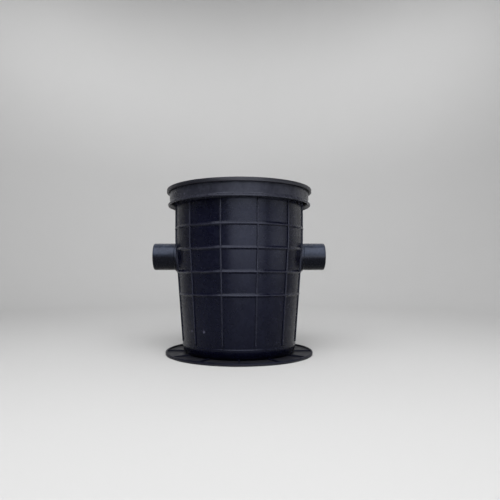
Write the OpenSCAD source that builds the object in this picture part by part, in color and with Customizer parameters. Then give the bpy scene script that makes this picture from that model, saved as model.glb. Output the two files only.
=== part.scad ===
// Bucket-type grease trap: ribbed tank with two pipe spigots, push-on lid,
// inlet bend, outlet tee with dip pipe, and a slotted solids basket.
// Origin on the tank's axis at the base plane, +Z up, water enters at -X and leaves at +X.

/* [Tank] */
// Outer radius of the straight upper wall
tank_r = 142.3; // [136:0.1:156]
// Height of the rim's top face above the base plane
rim_z = 361; // [345:1:400]
// Height at which the straight wall gives way to the taper
taper_top_z = 250; // [236:1:280]
// Taper of the lower wall, in degrees from upright
taper_deg = 4.1; // [3:0.1:5]
// Wall thickness
wall = 3.5; // [2.5:0.1:4.5]
// Floor thickness
floor_t = 4; // [3:0.5:6]
// Height of the rounded heel that joins wall and floor
heel_h = 26; // [20:1:32]
// How far the heel turns in at the base plane
heel_in = 14; // [8:1:18]
// How far the heel's top edge stands proud of the wall above it
heel_step = 0.9; // [0.5:0.1:1.5]
// Depth of the hollow under the floor
foot_hollow = 2; // [1:0.5:4]

/* [Ribs] */
// Number of upright ribs
upright_count = 12; // [8:4:16]
// Width of an upright rib
upright_w = 3.6; // [2:0.1:5]
// How far an upright rib stands proud of the wall
upright_proud = 2.6; // [1.5:0.1:4]
// Number of hoop ribs
hoop_count = 4; // [2:1:4]
// Height of the lowest hoop rib's crest
hoop_first_z = 134.2; // [110:0.1:150]
// Spacing of the hoop ribs
hoop_pitch = 47.9; // [40:0.1:52]
// Width of a hoop rib's crest
hoop_crest = 1.2; // [0.8:0.1:3]
// Height of the slope from the wall down to the crest
hoop_over = 4; // [1:0.1:5]
// Height of the slope from the crest back to the wall under it
hoop_under = 2.4; // [1:0.1:5]
// How far a hoop rib stands proud of the wall
hoop_proud = 2.6; // [1.5:0.1:4]

/* [Base flange] */
// Outer radius of the base flange
flange_r = 165; // [155:1:180]
// Thickness of the flange plate
flange_t = 2.5; // [2:0.1:4]
// Height of the flange's raised edge and radial ribs above the base plane
flange_edge_h = 6; // [5:0.5:9]
// Width of the raised edge
flange_edge_w = 4; // [3:0.5:8]
// Number of radial ribs on the flange
spoke_count = 12; // [8:4:24]
// Width of a radial rib
spoke_w = 3.2; // [2:0.1:5]

/* [Rim collar] */
// How far the collar stands out from the upper wall
collar_out = 14.2; // [10:0.1:18]
// Height of the hanging collar
collar_h = 32; // [25:1:38]
// Wall thickness of the collar
collar_wall = 2.8; // [2:0.1:4]
// Draft of the collar, in degrees from upright
collar_draft = 2.6; // [1:0.1:4]
// Thickness of the rim's top plate
rim_t = 3.6; // [3:0.1:5]
// How far the lip flares out from the collar
lip_out = 4.6; // [3:0.1:6]
// Height of the lip
lip_h = 7; // [5:0.5:9]
// Depth of the webs under the rim plate
web_h = 12; // [6:1:16]

/* [Spigots] */
// Outside diameter of the pipe spigots and of the dip pipe
pipe_d = 60.3; // [56:0.1:63]
// Wall thickness of the spigots and of the dip pipe
pipe_wall = 3.2; // [2.5:0.1:4]
// Height of the spigots' axis
spigot_z = 217; // [206:0.5:224]
// Length of a spigot beyond the upper wall
spigot_len = 49.7; // [40:0.1:70]
// Chamfer on a spigot's end
spigot_chamfer = 2; // [1:0.1:3]
// Length of a spigot's thicker root beyond the upper wall
root_len = 3.5; // [3:0.1:6]
// Rounding from the thicker root to the spigot
root_round = 3; // [1:0.1:3]

/* [Lid] */
// Overhang of the lid's edge beyond the collar's top
lid_overhang = 5.6; // [4.5:0.1:8]
// Height of the lid's edge
lid_edge_h = 7.8; // [7:0.1:11]
// How far the edge hangs below the rim's top face
lid_drop = 3; // [2:0.1:5]
// Wall thickness of the lid
lid_wall = 3; // [2:0.1:3.4]
// Rounding of the lid's upper edge
lid_round = 2.4; // [1:0.1:3]
// Width of the raised band round the lid's top
lid_band_w = 14; // [10:1:24]
// Step from the raised band down to the lid's panel
lid_step = 1.2; // [0.5:0.1:1.6]
// Depth of the plug ring below the rim's top face
plug_h = 20; // [12:1:26]
// Radial clearance of the plug ring in the mouth
plug_gap = 0.7; // [0.4:0.1:1.5]
// Radius of the finger well
well_r = 56; // [45:1:65]
// Depth of the finger well below the panel
well_h = 24; // [18:1:30]
// Width of the grip bar across the well
grip_w = 26; // [20:1:34]
// Thickness of the grip bar
grip_t = 9; // [7:0.5:12]
// Number of stiffening ribs under the lid
lid_rib_count = 12; // [6:2:16]
// Height of the ribs under the lid
lid_rib_h = 8; // [4:1:14]
// Width of the ribs under the lid
lid_rib_w = 2.4; // [1.5:0.1:4]
// Width of the lid's gasket
gasket_w = 6; // [4:0.5:8]
// Depth of the gasket's groove in the lid
gasket_seat = 1.2; // [0.8:0.1:1.6]
// Gap that the gasket keeps between lid and rim
gasket_stand = 0.6; // [0.4:0.1:1]

/* [Inlet and outlet fittings] */
// Wall thickness of the bend and of the tee's branch
fitting_wall = 4; // [3.5:0.1:5]
// Radial clearance of a tail in its spigot
tail_gap = 0.35; // [0.2:0.05:0.6]
// How far a tail reaches into its spigot, past the upper wall
tail_depth = 22; // [16:1:30]
// How far a stop collar stands out from its tail
stop_out = 5; // [3:0.5:7]
// Thickness of a stop collar
stop_t = 3; // [2:0.5:5]
// Section diameter of the O-rings
oring_d = 2.6; // [2:0.1:2.8]
// Radius of the inlet bend along its centreline
bend_r = 36; // [34:1:40]
// Distance of the tee's upright run from the inner wall
tee_reach = 56; // [50:1:66]
// Height of the tee's open top above the spigots' axis
tee_rise = 45; // [38:1:60]
// Length of the tee's socket
socket_len = 38; // [30:1:44]
// Radial clearance of the dip pipe in its socket
socket_gap = 0.3; // [0.2:0.05:0.5]
// Wall thickness of the socket
socket_wall = 3.4; // [3:0.1:5]
// Height of the dip pipe's seal
dip_seal_h = 6; // [4:0.5:8]
// Radial thickness of the dip pipe's seal
dip_seal_w = 3.6; // [2.5:0.1:4]
// Height of the dip pipe's open end above the floor
dip_end = 52; // [30:1:70]

/* [Basket] */
// Height of the basket's rim above the floor
basket_h = 112; // [90:1:116]
// Outer radius of the basket just under its rim
basket_r = 52; // [44:0.5:54]
// Outer radius of the basket at its bottom
basket_foot_r = 44; // [36:0.5:46]
// Wall thickness of the basket
basket_wall = 2.2; // [1.6:0.1:3]
// Width of the basket's rim, beyond its wall
basket_rim_w = 5.5; // [5:0.5:7]
// Thickness of the basket's rim
basket_rim_t = 3; // [2:0.5:5]
// Height of the basket's feet
foot_h = 8; // [5:1:12]
// Radius of a basket foot
foot_r = 4; // [3:0.5:6]
// Clearance between the basket's rim and the tank's wall
basket_gap = 4; // [2:0.5:8]
// Number of slots round the basket in each row
slot_count = 16; // [8:2:20]
// Number of rows of slots
slot_rows = 2; // [1:1:3]
// Width of a slot
slot_w = 6; // [4:0.5:8]
// Height of the wall left between two rows of slots
slot_land = 13.8; // [8:0.1:18]
// Wire diameter of the bail
bail_d = 4; // [3:0.5:5]
// Clearance of the bail's ends in the ears
bail_gap = 0.3; // [0.15:0.05:0.5]
// Thickness of the ears that carry the bail
ear_t = 3; // [2.5:0.5:5]
// Width of the ears
ear_w = 12; // [10:1:16]

/* [Hidden] */
$fn = 96;

// Colours
navy = [0.075, 0.08, 0.12];
black = [0.06, 0.06, 0.065];
grey = [0.16, 0.17, 0.19];
steel = [0.75, 0.76, 0.78];

// Small shared gaps and overlaps
seat_gap = 0.1;
embed = 1;
past = 2;
arc_steps = 8;

// Tank
function wall_r(z) = tank_r - max(0, taper_top_z - z) * tan(taper_deg);
function inner_r(z) = wall_r(z) - wall;
mouth_r = tank_r - wall;
floor_z = foot_hollow + floor_t;
heel_r = wall_r(heel_h) - heel_in;
heel_top_r = wall_r(heel_h) + heel_step;
foot_ring_r = heel_r - heel_in;

// Rim collar
rim_under_z = rim_z - rim_t;
collar_r = tank_r + collar_out;
collar_in_r = collar_r - collar_wall;
lip_z = rim_z - collar_h;
lip_neck_z = lip_z + lip_h;
function collar_shrink(z) = (rim_z - z) * tan(collar_draft);
lip_neck_r = collar_r - collar_shrink(lip_neck_z);
lip_r = lip_neck_r + lip_out;
rim_round = rim_t / 3;

// Spigots
pipe_r = pipe_d / 2;
bore_r = pipe_r - pipe_wall;
spigot_end = tank_r + spigot_len;

// Lid
lid_r = collar_r + lid_overhang;
lid_edge_z = rim_z - lid_drop;
lid_top_z = lid_edge_z + lid_edge_h;
lid_under_z = rim_z + gasket_stand;
panel_z = lid_top_z - lid_step;
panel_under_z = panel_z - lid_wall;
plug_r = mouth_r - plug_gap;
plug_in_r = plug_r - lid_wall;
plug_z = rim_z - plug_h;
plug_lead = lid_wall / 2;
well_draft = well_h / 10;
well_z = panel_z - well_h;
lid_edge_in_r = lid_r - (lid_overhang - plug_gap);
band_in_r = lid_r - lid_band_w;
gasket_mid_r = (mouth_r + collar_in_r) / 2;

// Fittings
tail_r = bore_r - tail_gap;
fitting_bore_r = tail_r - fitting_wall;
tail_tip = tank_r + tail_depth;
stop_r = tail_r + stop_out;
stop_low_z = spigot_z - stop_r;
stop_face = sqrt(pow(inner_r(stop_low_z), 2) - pow(stop_r, 2)) - seat_gap;
oring_r = oring_d / 2;
oring_mid_r = bore_r - oring_r - seat_gap / 2;
oring_x = (tank_r + tail_tip) / 2;
tee_x = inner_r(spigot_z) - tee_reach;
tee_top_z = spigot_z + tee_rise;
socket_top_z = spigot_z - tail_r - fitting_wall;
socket_z = socket_top_z - socket_len;
socket_in_r = pipe_r + socket_gap;
socket_r = socket_in_r + socket_wall;
dip_seal_z = socket_z + socket_len / 4;
dip_seal_in_r = pipe_r + seat_gap;
dip_seal_r = dip_seal_in_r + dip_seal_w;
bead_r = dip_seal_r + seat_gap + socket_wall;
dip_top_z = socket_top_z - seat_gap;
dip_z = floor_z + dip_end;

// Basket
basket_rim_z = floor_z + basket_h;
basket_rim_r = basket_r + basket_rim_w;
basket_x = -(inner_r(basket_rim_z - basket_rim_t) - basket_gap - basket_rim_r);
basket_z = floor_z + seat_gap + foot_h;
basket_side_h = basket_rim_z - basket_rim_t - basket_z - basket_wall;
foot_place_r = basket_foot_r - basket_wall - foot_r;
slot_space = basket_side_h / slot_rows;
slot_h = slot_space - slot_land;
floor_slot_count = slot_count / 2;
bail_wire_r = bail_d / 2;
bail_hole_r = bail_wire_r + bail_gap;
ear_y = basket_rim_r + ear_t / 3;
ear_in_y = ear_y - ear_t;
bail_r = ear_in_y - bail_gap - bail_wire_r;
bail_z = basket_rim_z + bail_wire_r + bail_gap;
ear_h = bail_wire_r + bail_gap + ear_w / 2;
bail_end = ear_y + bail_d / 4;

// Points of an ellipse's quarter from [r0, z0], level there, to [r1, z1], upright there
function heel_arc(r0, z0, r1, z1) =
    [for (i = [0:arc_steps]) let (a = 90 * i / arc_steps)
        [r0 + (r1 - r0) * sin(a), z0 + (z1 - z0) * (1 - cos(a))]];

// Points of a circle's arc round c, from angle a0 to a1
function arc(c, r, a0, a1) =
    [for (i = [0:arc_steps]) let (a = a0 + (a1 - a0) * i / arc_steps) c + r * [cos(a), sin(a)]];

// Copies round the vertical axis, the first turned by start degrees
module around(count, start = 0) {
    for (i = [0:count - 1]) rotate([0, 0, start + 360 * i / count]) children();
}

// A cylinder along +X from x0 to x1 at the spigots' height
module along_x(r, x0, x1) {
    translate([x0, 0, spigot_z]) rotate([0, 90, 0]) cylinder(h = x1 - x0, r = r);
}

module at_basket() {
    translate([basket_x, 0, 0]) children();
}

// Outside of the tank as a filled profile: foot, flange, heel, wall, collar, rim
module tank_outside() {
    flange_in_r = flange_r - flange_edge_w;
    lip_round = lip_h / 4;
    rotate_extrude() polygon(concat(
        [[0, foot_hollow], [foot_ring_r, foot_hollow], [foot_ring_r + foot_hollow, 0], [flange_r, 0],
         [flange_r, flange_edge_h], [flange_in_r, flange_edge_h], [flange_in_r, flange_t]],
        heel_arc(heel_r + flange_t, flange_t, heel_top_r, heel_h - 2 * heel_step),
        [[heel_top_r, heel_h - heel_step], [wall_r(heel_h), heel_h],
         [tank_r, taper_top_z], [tank_r, rim_under_z],
         [collar_in_r, rim_under_z], [lip_neck_r - collar_wall, lip_neck_z],
         [lip_r - collar_wall, lip_z], [lip_r - lip_round, lip_z], [lip_r, lip_z + lip_round],
         [lip_r, lip_z + 2 * lip_round], [lip_neck_r, lip_neck_z]],
        arc([collar_r - rim_round, rim_z - rim_round], rim_round, 0, 90),
        [[0, rim_z]]));
}

// Inside of the tank, open at the mouth
module tank_cavity() {
    rotate_extrude() polygon(concat(
        [[0, floor_z]],
        heel_arc(heel_r - wall, floor_z, inner_r(heel_h), heel_h),
        [[mouth_r, taper_top_z], [mouth_r, rim_z - rim_round], [mouth_r + rim_round, rim_z],
         [mouth_r + rim_round, rim_z + past], [0, rim_z + past]]));
}

// One hoop rib: a long slope out from the wall to the crest and a short one back under it
module hoop(z) {
    low = z - hoop_crest / 2;
    high = z + hoop_crest / 2;
    foot = low - hoop_under * (1 + embed / hoop_proud);
    head = high + hoop_over * (1 + embed / hoop_proud);
    rotate_extrude() polygon([
        [wall_r(foot) - embed, foot], [wall_r(low) + hoop_proud, low],
        [wall_r(high) + hoop_proud, high], [wall_r(head) - embed, head]]);
}

// One upright rib on +X: its foot slopes out from the heel, and at the rim plate it widens into a web
module upright() {
    web_z = rim_under_z - web_h;
    web_r = collar_in_r - collar_shrink(web_z) + embed;
    proud_r = tank_r + upright_proud;
    foot_z = heel_h + upright_proud;
    rotate([90, 0, 0]) linear_extrude(upright_w, center = true) polygon([
        [wall_r(heel_h) - embed, heel_h], [wall_r(heel_h), heel_h],
        [wall_r(foot_z) + upright_proud, foot_z], [proud_r, taper_top_z],
        [proud_r, web_z - web_h / 2], [web_r, web_z],
        [collar_in_r, rim_under_z], [collar_in_r, rim_under_z + embed],
        [tank_r - embed, rim_under_z + embed], [tank_r - embed, taper_top_z]]);
}

// One radial rib on the base flange, along +X
module spoke() {
    translate([heel_r, -spoke_w / 2, flange_t - embed])
        cube([flange_r - flange_edge_w / 2 - heel_r, spoke_w, flange_edge_h - flange_t + embed]);
}

// A spigot's outside along +X, from inside the wall over its thicker root to its chamfered end
module spigot_outside() {
    start = inner_r(spigot_z) - pipe_r;
    length = spigot_end - start;
    root_end = tank_r + root_len - start;
    translate([start, 0, spigot_z]) rotate([0, 90, 0]) rotate_extrude() polygon(concat(
        [[0, 0], [pipe_r + root_round, 0]],
        arc([pipe_r + root_round, root_end], root_round, 270, 180),
        [[pipe_r, length - spigot_chamfer], [pipe_r - spigot_chamfer / 2, length], [0, length]]));
}

module tank_body() {
    color(navy) difference() {
        union() {
            tank_outside();
            for (i = [0:hoop_count - 1]) hoop(hoop_first_z + i * hoop_pitch);
            around(upright_count, 180 / upright_count) upright();
            around(spoke_count) spoke();
            around(2) spigot_outside();
        }
        tank_cavity();
        around(2) along_x(bore_r, 0, spigot_end + past);
    }
}

// The lid's moulded section: finger well, panel, raised band, edge, gasket groove and plug ring
module lid_section() {
    groove_in_r = gasket_mid_r - gasket_w / 2 - seat_gap;
    groove_r = gasket_mid_r + gasket_w / 2 + seat_gap;
    groove_z = lid_under_z + gasket_seat;
    rotate_extrude() polygon(concat(
        [[0, well_z], [well_r - well_draft, well_z], [well_r, panel_z], [band_in_r - lid_step, panel_z],
         [band_in_r, lid_top_z]],
        arc([lid_r - lid_round, lid_top_z - lid_round], lid_round, 90, 0),
        [[lid_r, lid_edge_z], [lid_edge_in_r, lid_edge_z], [lid_edge_in_r, lid_under_z],
         [groove_r, lid_under_z], [groove_r, groove_z], [groove_in_r, groove_z], [groove_in_r, lid_under_z],
         [plug_r, lid_under_z], [plug_r, plug_z + 2 * plug_lead], [plug_r - plug_lead, plug_z],
         [plug_in_r, plug_z], [plug_in_r, panel_under_z], [well_r + lid_wall, panel_under_z],
         [well_r - well_draft + lid_wall, well_z - lid_wall], [0, well_z - lid_wall]]));
}

// The rounded bar across the finger well, along Y
module grip_bar() {
    end_r = grip_t / 2;
    side = grip_w / 2 - end_r;
    translate([0, 0, panel_z - end_r]) rotate([90, 0, 0])
        linear_extrude(2 * well_r + lid_wall, center = true) union() {
            square([2 * side, grip_t], center = true);
            for (x = [-side, side]) translate([x, 0]) circle(end_r);
        }
}

module lid() {
    rib_in_r = well_r + lid_wall / 2;
    rib_len = plug_in_r + lid_wall / 2 - rib_in_r;
    color(navy) union() {
        lid_section();
        grip_bar();
        around(lid_rib_count) translate([rib_in_r, -lid_rib_w / 2, panel_under_z - lid_rib_h])
            cube([rib_len, lid_rib_w, lid_rib_h + lid_wall / 2]);
    }
}

module lid_seal() {
    height = gasket_stand + gasket_seat - 2 * seat_gap;
    color(black) translate([0, 0, rim_z + seat_gap]) rotate_extrude()
        translate([gasket_mid_r - gasket_w / 2, 0]) square([gasket_w, height]);
}

// Outside of a tail along +X from x0: plugs into a spigot, with its stop collar at the wall
module tail_outside(x0) {
    along_x(tail_r, x0, tail_tip);
    along_x(stop_r, stop_face - stop_t, stop_face);
}

// Groove for the O-ring round a tail
module tail_groove() {
    groove_w = oring_d + 2 * seat_gap;
    groove_r = oring_mid_r - oring_r - seat_gap / 2;
    difference() {
        along_x(pipe_r, oring_x - groove_w / 2, oring_x + groove_w / 2);
        along_x(groove_r, oring_x - groove_w, oring_x + groove_w);
    }
}

module tail_oring() {
    translate([oring_x, 0, spigot_z]) rotate([0, 90, 0])
        rotate_extrude() translate([oring_mid_r, 0]) circle(oring_r);
}

// Quarter turn of radius r from the tail round to straight down, over the basket's axis
module bend_turn(r) {
    translate([-basket_x + bend_r, 0, spigot_z - bend_r]) rotate([90, 0, 0]) rotate([0, 0, 90])
        rotate_extrude(angle = 90) translate([bend_r, 0]) circle(r);
}

module inlet_bend() {
    turn_x = -basket_x + bend_r;
    color(grey) rotate([0, 0, 180]) difference() {
        union() {
            tail_outside(turn_x);
            bend_turn(tail_r);
        }
        along_x(fitting_bore_r, turn_x, tail_tip + past);
        bend_turn(fitting_bore_r);
        tail_groove();
    }
}

module inlet_seal() {
    color(black) rotate([0, 0, 180]) tail_oring();
}

module outlet_tee() {
    color(grey) difference() {
        union() {
            tail_outside(tee_x);
            translate([tee_x, 0, 0]) rotate_extrude() polygon([
                [0, socket_z], [bead_r, socket_z], [bead_r, dip_seal_z + dip_seal_h + socket_wall],
                [socket_r, dip_seal_z + dip_seal_h + 2 * socket_wall], [socket_r, socket_top_z],
                [pipe_r, socket_top_z + socket_wall], [pipe_r, tee_top_z], [0, tee_top_z]]);
        }
        along_x(fitting_bore_r, tee_x, tail_tip + past);
        translate([tee_x, 0, 0]) {
            translate([0, 0, socket_z - past]) cylinder(h = tee_top_z - socket_z + 2 * past, r = bore_r);
            translate([0, 0, socket_z - past]) cylinder(h = socket_len + past, r = socket_in_r);
            translate([0, 0, dip_seal_z - seat_gap])
                cylinder(h = dip_seal_h + 2 * seat_gap, r = dip_seal_r + seat_gap);
        }
        tail_groove();
    }
}

module outlet_seal() {
    color(black) tail_oring();
}

module dip_pipe() {
    color(grey) translate([tee_x, 0, dip_z]) difference() {
        cylinder(h = dip_top_z - dip_z, r = pipe_r);
        translate([0, 0, -past]) cylinder(h = dip_top_z - dip_z + 2 * past, r = bore_r);
    }
}

module dip_pipe_seal() {
    color(black) translate([tee_x, 0, dip_seal_z]) rotate_extrude()
        translate([dip_seal_in_r, 0]) square([dip_seal_w, dip_seal_h]);
}

// The basket's cup: tapered wall, flat bottom and turned-out rim
module basket_cup() {
    side_top_z = basket_rim_z - basket_rim_t;
    rotate_extrude() polygon([
        [0, basket_z], [basket_foot_r, basket_z], [basket_r, side_top_z], [basket_rim_r, side_top_z],
        [basket_rim_r, basket_rim_z], [basket_r - basket_wall, basket_rim_z],
        [basket_foot_r - basket_wall, basket_z + basket_wall], [0, basket_z + basket_wall]]);
}

// An ear on the +Y side of the rim, with the bail's hole
module bail_ear() {
    translate([0, ear_in_y, basket_rim_z]) difference() {
        translate([-ear_w / 2, 0, -basket_rim_t / 2]) cube([ear_w, ear_t, ear_h + basket_rim_t / 2]);
        translate([0, -past, bail_z - basket_rim_z]) rotate([-90, 0, 0])
            cylinder(h = ear_t + 2 * past, r = bail_hole_r);
    }
}

module strainer_basket() {
    floor_slot_in = slot_w * floor_slot_count / 4;
    floor_slot_len = foot_place_r - floor_slot_in;
    color(grey) at_basket() difference() {
        union() {
            basket_cup();
            around(4, 180 / floor_slot_count) translate([foot_place_r, 0, floor_z + seat_gap])
                cylinder(h = foot_h + basket_wall / 2, r = foot_r);
            around(2) bail_ear();
        }
        for (row = [0:slot_rows - 1]) around(slot_count, 180 / slot_count)
            translate([foot_place_r + basket_r / 2, 0, basket_z + basket_wall + (row + 0.5) * slot_space])
                cube([basket_r, slot_w, slot_h], center = true);
        around(floor_slot_count)
            translate([(foot_place_r + floor_slot_in) / 2, 0, basket_z + basket_wall / 2])
                cube([floor_slot_len, slot_w, 2 * basket_wall], center = true);
    }
}

// The wire handle, lying on the rim towards +X, with its ends in the ears
module basket_bail() {
    color(steel) at_basket() translate([0, 0, bail_z]) union() {
        rotate([0, 0, -90]) rotate_extrude(angle = 180) translate([bail_r, 0]) circle(bail_wire_r);
        for (side = [-1, 1]) translate([0, side * bail_r, 0]) rotate([-90 * side, 0, 0])
            cylinder(h = bail_end - bail_r, r = bail_wire_r);
    }
}

tank_body();
lid();
lid_seal();
inlet_bend();
inlet_seal();
outlet_tee();
outlet_seal();
dip_pipe();
dip_pipe_seal();
strainer_basket();
basket_bail();
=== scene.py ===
"""Looks of a bucket-type grease trap: ribbed tank with two pipe spigots, push-on lid and inner fittings."""

import math

import bmesh
import bpy
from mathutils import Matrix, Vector


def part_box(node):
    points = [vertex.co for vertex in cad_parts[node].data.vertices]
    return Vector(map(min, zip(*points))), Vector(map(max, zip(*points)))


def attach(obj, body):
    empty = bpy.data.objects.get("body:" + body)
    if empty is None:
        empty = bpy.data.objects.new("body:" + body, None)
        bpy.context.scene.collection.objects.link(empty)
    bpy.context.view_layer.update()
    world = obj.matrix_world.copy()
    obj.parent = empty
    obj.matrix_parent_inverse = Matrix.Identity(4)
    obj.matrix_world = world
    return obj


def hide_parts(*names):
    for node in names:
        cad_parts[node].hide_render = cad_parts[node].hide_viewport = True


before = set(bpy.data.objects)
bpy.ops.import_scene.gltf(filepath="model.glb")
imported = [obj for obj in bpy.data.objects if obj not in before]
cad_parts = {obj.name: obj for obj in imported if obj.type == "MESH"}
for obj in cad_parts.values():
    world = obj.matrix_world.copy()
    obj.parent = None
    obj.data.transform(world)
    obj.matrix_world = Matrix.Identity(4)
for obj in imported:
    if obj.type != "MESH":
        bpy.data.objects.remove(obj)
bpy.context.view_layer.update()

# All sizes are millimetres, and MM turns them into Blender's metres
MM = 0.001

# Points closer than this are merged, after a spin and in a finished piece
SPIN_WELD = 0.02
PIECE_WELD = 0.01

# Faces that meet at a smaller angle than this, in degrees, are shaded smooth
SMOOTH_ANGLE = 32

# How far a cutting tool runs past a face, and how much it widens there
CUT_PAST = 1.0
CUT_FLARE = 2.0

# Sizes read from the frame
tank_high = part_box("tank_body")[1]
lid_low, lid_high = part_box("lid")
FLANGE_R = tank_high.y / MM
RIM_Z = tank_high.z / MM
SPIGOT_END = tank_high.x / MM
LID_R = lid_high.y / MM
LID_TOP_Z = lid_high.z / MM
LID_LOW_Z = lid_low.z / MM

# Columns round each kind of piece, the first face centred on +X, and the radius of a point on the axis
COLUMNS = 240
PIPE_COLUMNS = 120
BASKET_COLUMNS = 160
PIN_COLUMNS = 32
POLE = 0.0

# Tank wall
TANK_R = 142.3
TAPER_TOP_Z = 250.0
TAPER = math.tan(math.radians(4.1))
TAPER_TOP_ROUND = 9
WALL = 3.5
FLOOR_Z = 6.0
FOOT_HOLLOW = 2.0
HEEL_H = 26.0
HEEL_IN = 14.0
HEEL_STEP = 0.9
HEEL_ROWS = 9

# Tank ribs
UPRIGHTS = 12
RIB_W = 3.6
RIB_PROUD = 2.6
RIB_ROUND = 1.7
RIB_FOOT_Z = 28.0
RIB_TOP_Z = 347.0
HOOPS = [134.2 + 47.9 * i for i in range(4)]

# A hoop's section: height from its middle, how far it stands proud of the wall, and rounding
HOOP_SHAPE = [(-5, 0, 0), (-3, 0, 0.5), (-0.6, RIB_PROUD, 0.4),
              (0.6, RIB_PROUD, 0.4), (4.6, 0, 0.8), (6.6, 0, 0)]

# Base flange
FLANGE_T = 2.5
FLANGE_EDGE_H = 6.0
FLANGE_EDGE_W = 4.0
SPOKES = 12
SPOKE_W = 3.2
SPOKE_TOP_Z = 5.8
SPOKE_SINK = 1.0
SPOKE_ROUND = 0.5
EDGE_ROUND = 0.8

# Rim collar
COLLAR_R = 156.5
COLLAR_WALL = 2.8
COLLAR_DRAFT = math.tan(math.radians(2.6))
RIM_T = 3.6
LIP_Z = 329.0
LIP_H = 7.0
LIP_OUT = 4.6
WEB_H = 12.0

# Spigots
PIPE_R = 30.15
BORE_R = 26.95
SPIGOT_Z = 217.0
SPIGOT_CHAMFER = 2.0
SPIGOT_START = 134.5
ROOT_END = 142.8
ROOT_ROUND = 3.0
ROOT_STEPS = 5

# Lid
LID_WALL = 3.0
LID_EDGE_H = 7.8
LID_ROUND = 2.4
LID_BAND_W = 14.0
LID_STEP = 1.2
PLUG_R = 138.1
PLUG_Z = 341.0
LID_UNDER_Z = 361.6
LID_EDGE_IN_R = 157.2
WELL_R = 56.0
WELL_H = 24.0
WELL_DRAFT = 2.4
GRIP_W = 26.0
GRIP_T = 9.0
GRIP_ROUND = GRIP_T * 0.48
GRIP_DROP = 0.4
LID_RIBS = 12
LID_RIB_W = 2.4
LID_RIB_H = 8.0
LID_RIB_ROUND = 0.4
GASKET_R = 146.25
GROOVE_W = 6.2
GASKET_W = 6.0
GASKET_SEAT = 1.2
GASKET_GAP = 0.1

# Inlet bend and outlet tee, whose tails plug into the spigots
TAIL_R = 26.6
TAIL_BORE_R = 22.6
TAIL_TIP = 164.3
STOP_R = 31.6
STOP_FACE = 130.2
STOP_T = 3.0
ORING_X = 153.3
ORING_GROOVE_W = 2.8
ORING_GROOVE_R = 24.25
MOUTH_ROUND = 1.2
PIPE_CHAMFER = 2.0
BEND_X = -67.62
BEND_R = 36.0
BEND_SIDES = 72
BEND_STEPS = 18
TEE_X = 80.43
TEE_TOP_Z = 262.0
SOCKET_Z = 148.4
SOCKET_TOP_Z = 186.4
SOCKET_R = 33.85
SOCKET_IN_R = 30.45
BEAD_R = 37.35
BEAD_TOP_Z = 167.3
SHOULDER_H = 3.4
SEAL_Z = 157.8
SEAL_H = 6.2
SEAL_R = 33.95

# Dip pipe
DIP_Z = 58.0
DIP_TOP_Z = 186.3

# Basket and bail
BASKET_X = -67.62
BASKET_RIM_Z = 118.0
BASKET_RIM_R = 57.5
BASKET_RIM_T = 3.0
BASKET_R = 52.0
BASKET_FOOT_R = 44.0
BASKET_WALL = 2.2
BASKET_Z = 14.1
FEET = 4
FOOT_R = 4.0
FOOT_Z = 6.1
FOOT_AT_R = 37.8
SLOTS = 16
SLOT_W = 6.0
SLOT_ROUND = SLOT_W * 0.45
SLOT_H = 35.6
SLOT_ZS = (41.0, 90.3)
FLOOR_SLOTS = 8
FLOOR_SLOT_IN_R = 12.0
EAR_W = 12.0
EAR_ROUND = EAR_W * 0.45
EAR_IN_Y = 55.5
EAR_Y = 58.5
EAR_TOP_Z = 126.3
BAIL_Z = 120.3
BAIL_HOLE_R = 2.3
BAIL_WIRE_R = 2.0
BAIL_TIP_R = 1.4
BAIL_R = 53.2
BAIL_TURN = 2.2
BAIL_END = 59.5
WIRE_SIDES = 24
TURN_STEPS = 8
ARCH_STEPS = 72


# Modelling steps

def deselect_all():
    """Leaves edit mode with nothing selected."""
    if bpy.context.mode != "OBJECT":
        bpy.ops.object.mode_set(mode="OBJECT")
    bpy.ops.object.select_all(action="DESELECT")


def select_only(piece):
    """Selects one piece and makes it the active one."""
    deselect_all()
    piece.select_set(True)
    bpy.context.view_layer.objects.active = piece


def edit(piece):
    """Opens one piece in edit mode."""
    select_only(piece)
    bpy.ops.object.mode_set(mode="EDIT")


def settle():
    """Puts the selected piece's place, turn and scale into its mesh."""
    bpy.ops.object.transform_apply(location=True, rotation=True, scale=True)


def pick(kind, test):
    """Selects the open mesh's verts, edges or faces that pass the test, given each and its middle in mm."""
    mesh = bpy.context.edit_object.data
    bpy.ops.mesh.select_mode(type={"verts": "VERT", "edges": "EDGE", "faces": "FACE"}[kind])
    bpy.ops.mesh.select_all(action="DESELECT")
    shape = bmesh.from_edit_mesh(mesh)
    for item in getattr(shape, kind):
        if kind == "verts":
            middle = item.co
        elif kind == "edges":
            middle = (item.verts[0].co + item.verts[1].co) / 2
        else:
            middle = item.calc_center_median()
        if test(item, middle / MM):
            item.select_set(True)
    shape.select_flush_mode()
    bmesh.update_edit_mesh(mesh)


def wall_r(z):
    """Outer radius of the tank's wall at a height."""
    return TANK_R - max(0.0, TAPER_TOP_Z - z) * TAPER


def rounded(corners, steps=3):
    """A section's points from its corners (radius, height, rounding), each rounded by a short curve."""
    points = []
    for i, (r, z, rounding) in enumerate(corners):
        corner = Vector((r, z))
        if rounding == 0:
            points.append(corner)
            continue
        before = Vector(corners[i - 1][:2]) - corner
        after = Vector(corners[(i + 1) % len(corners)][:2]) - corner
        reach = min(rounding, before.length * 0.49, after.length * 0.49)
        start = corner + before.normalized() * reach
        end = corner + after.normalized() * reach
        for k in range(steps + 1):
            t = k / steps
            points.append(start * (1 - t) ** 2 + corner * 2 * t * (1 - t) + end * t ** 2)
    return points


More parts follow.
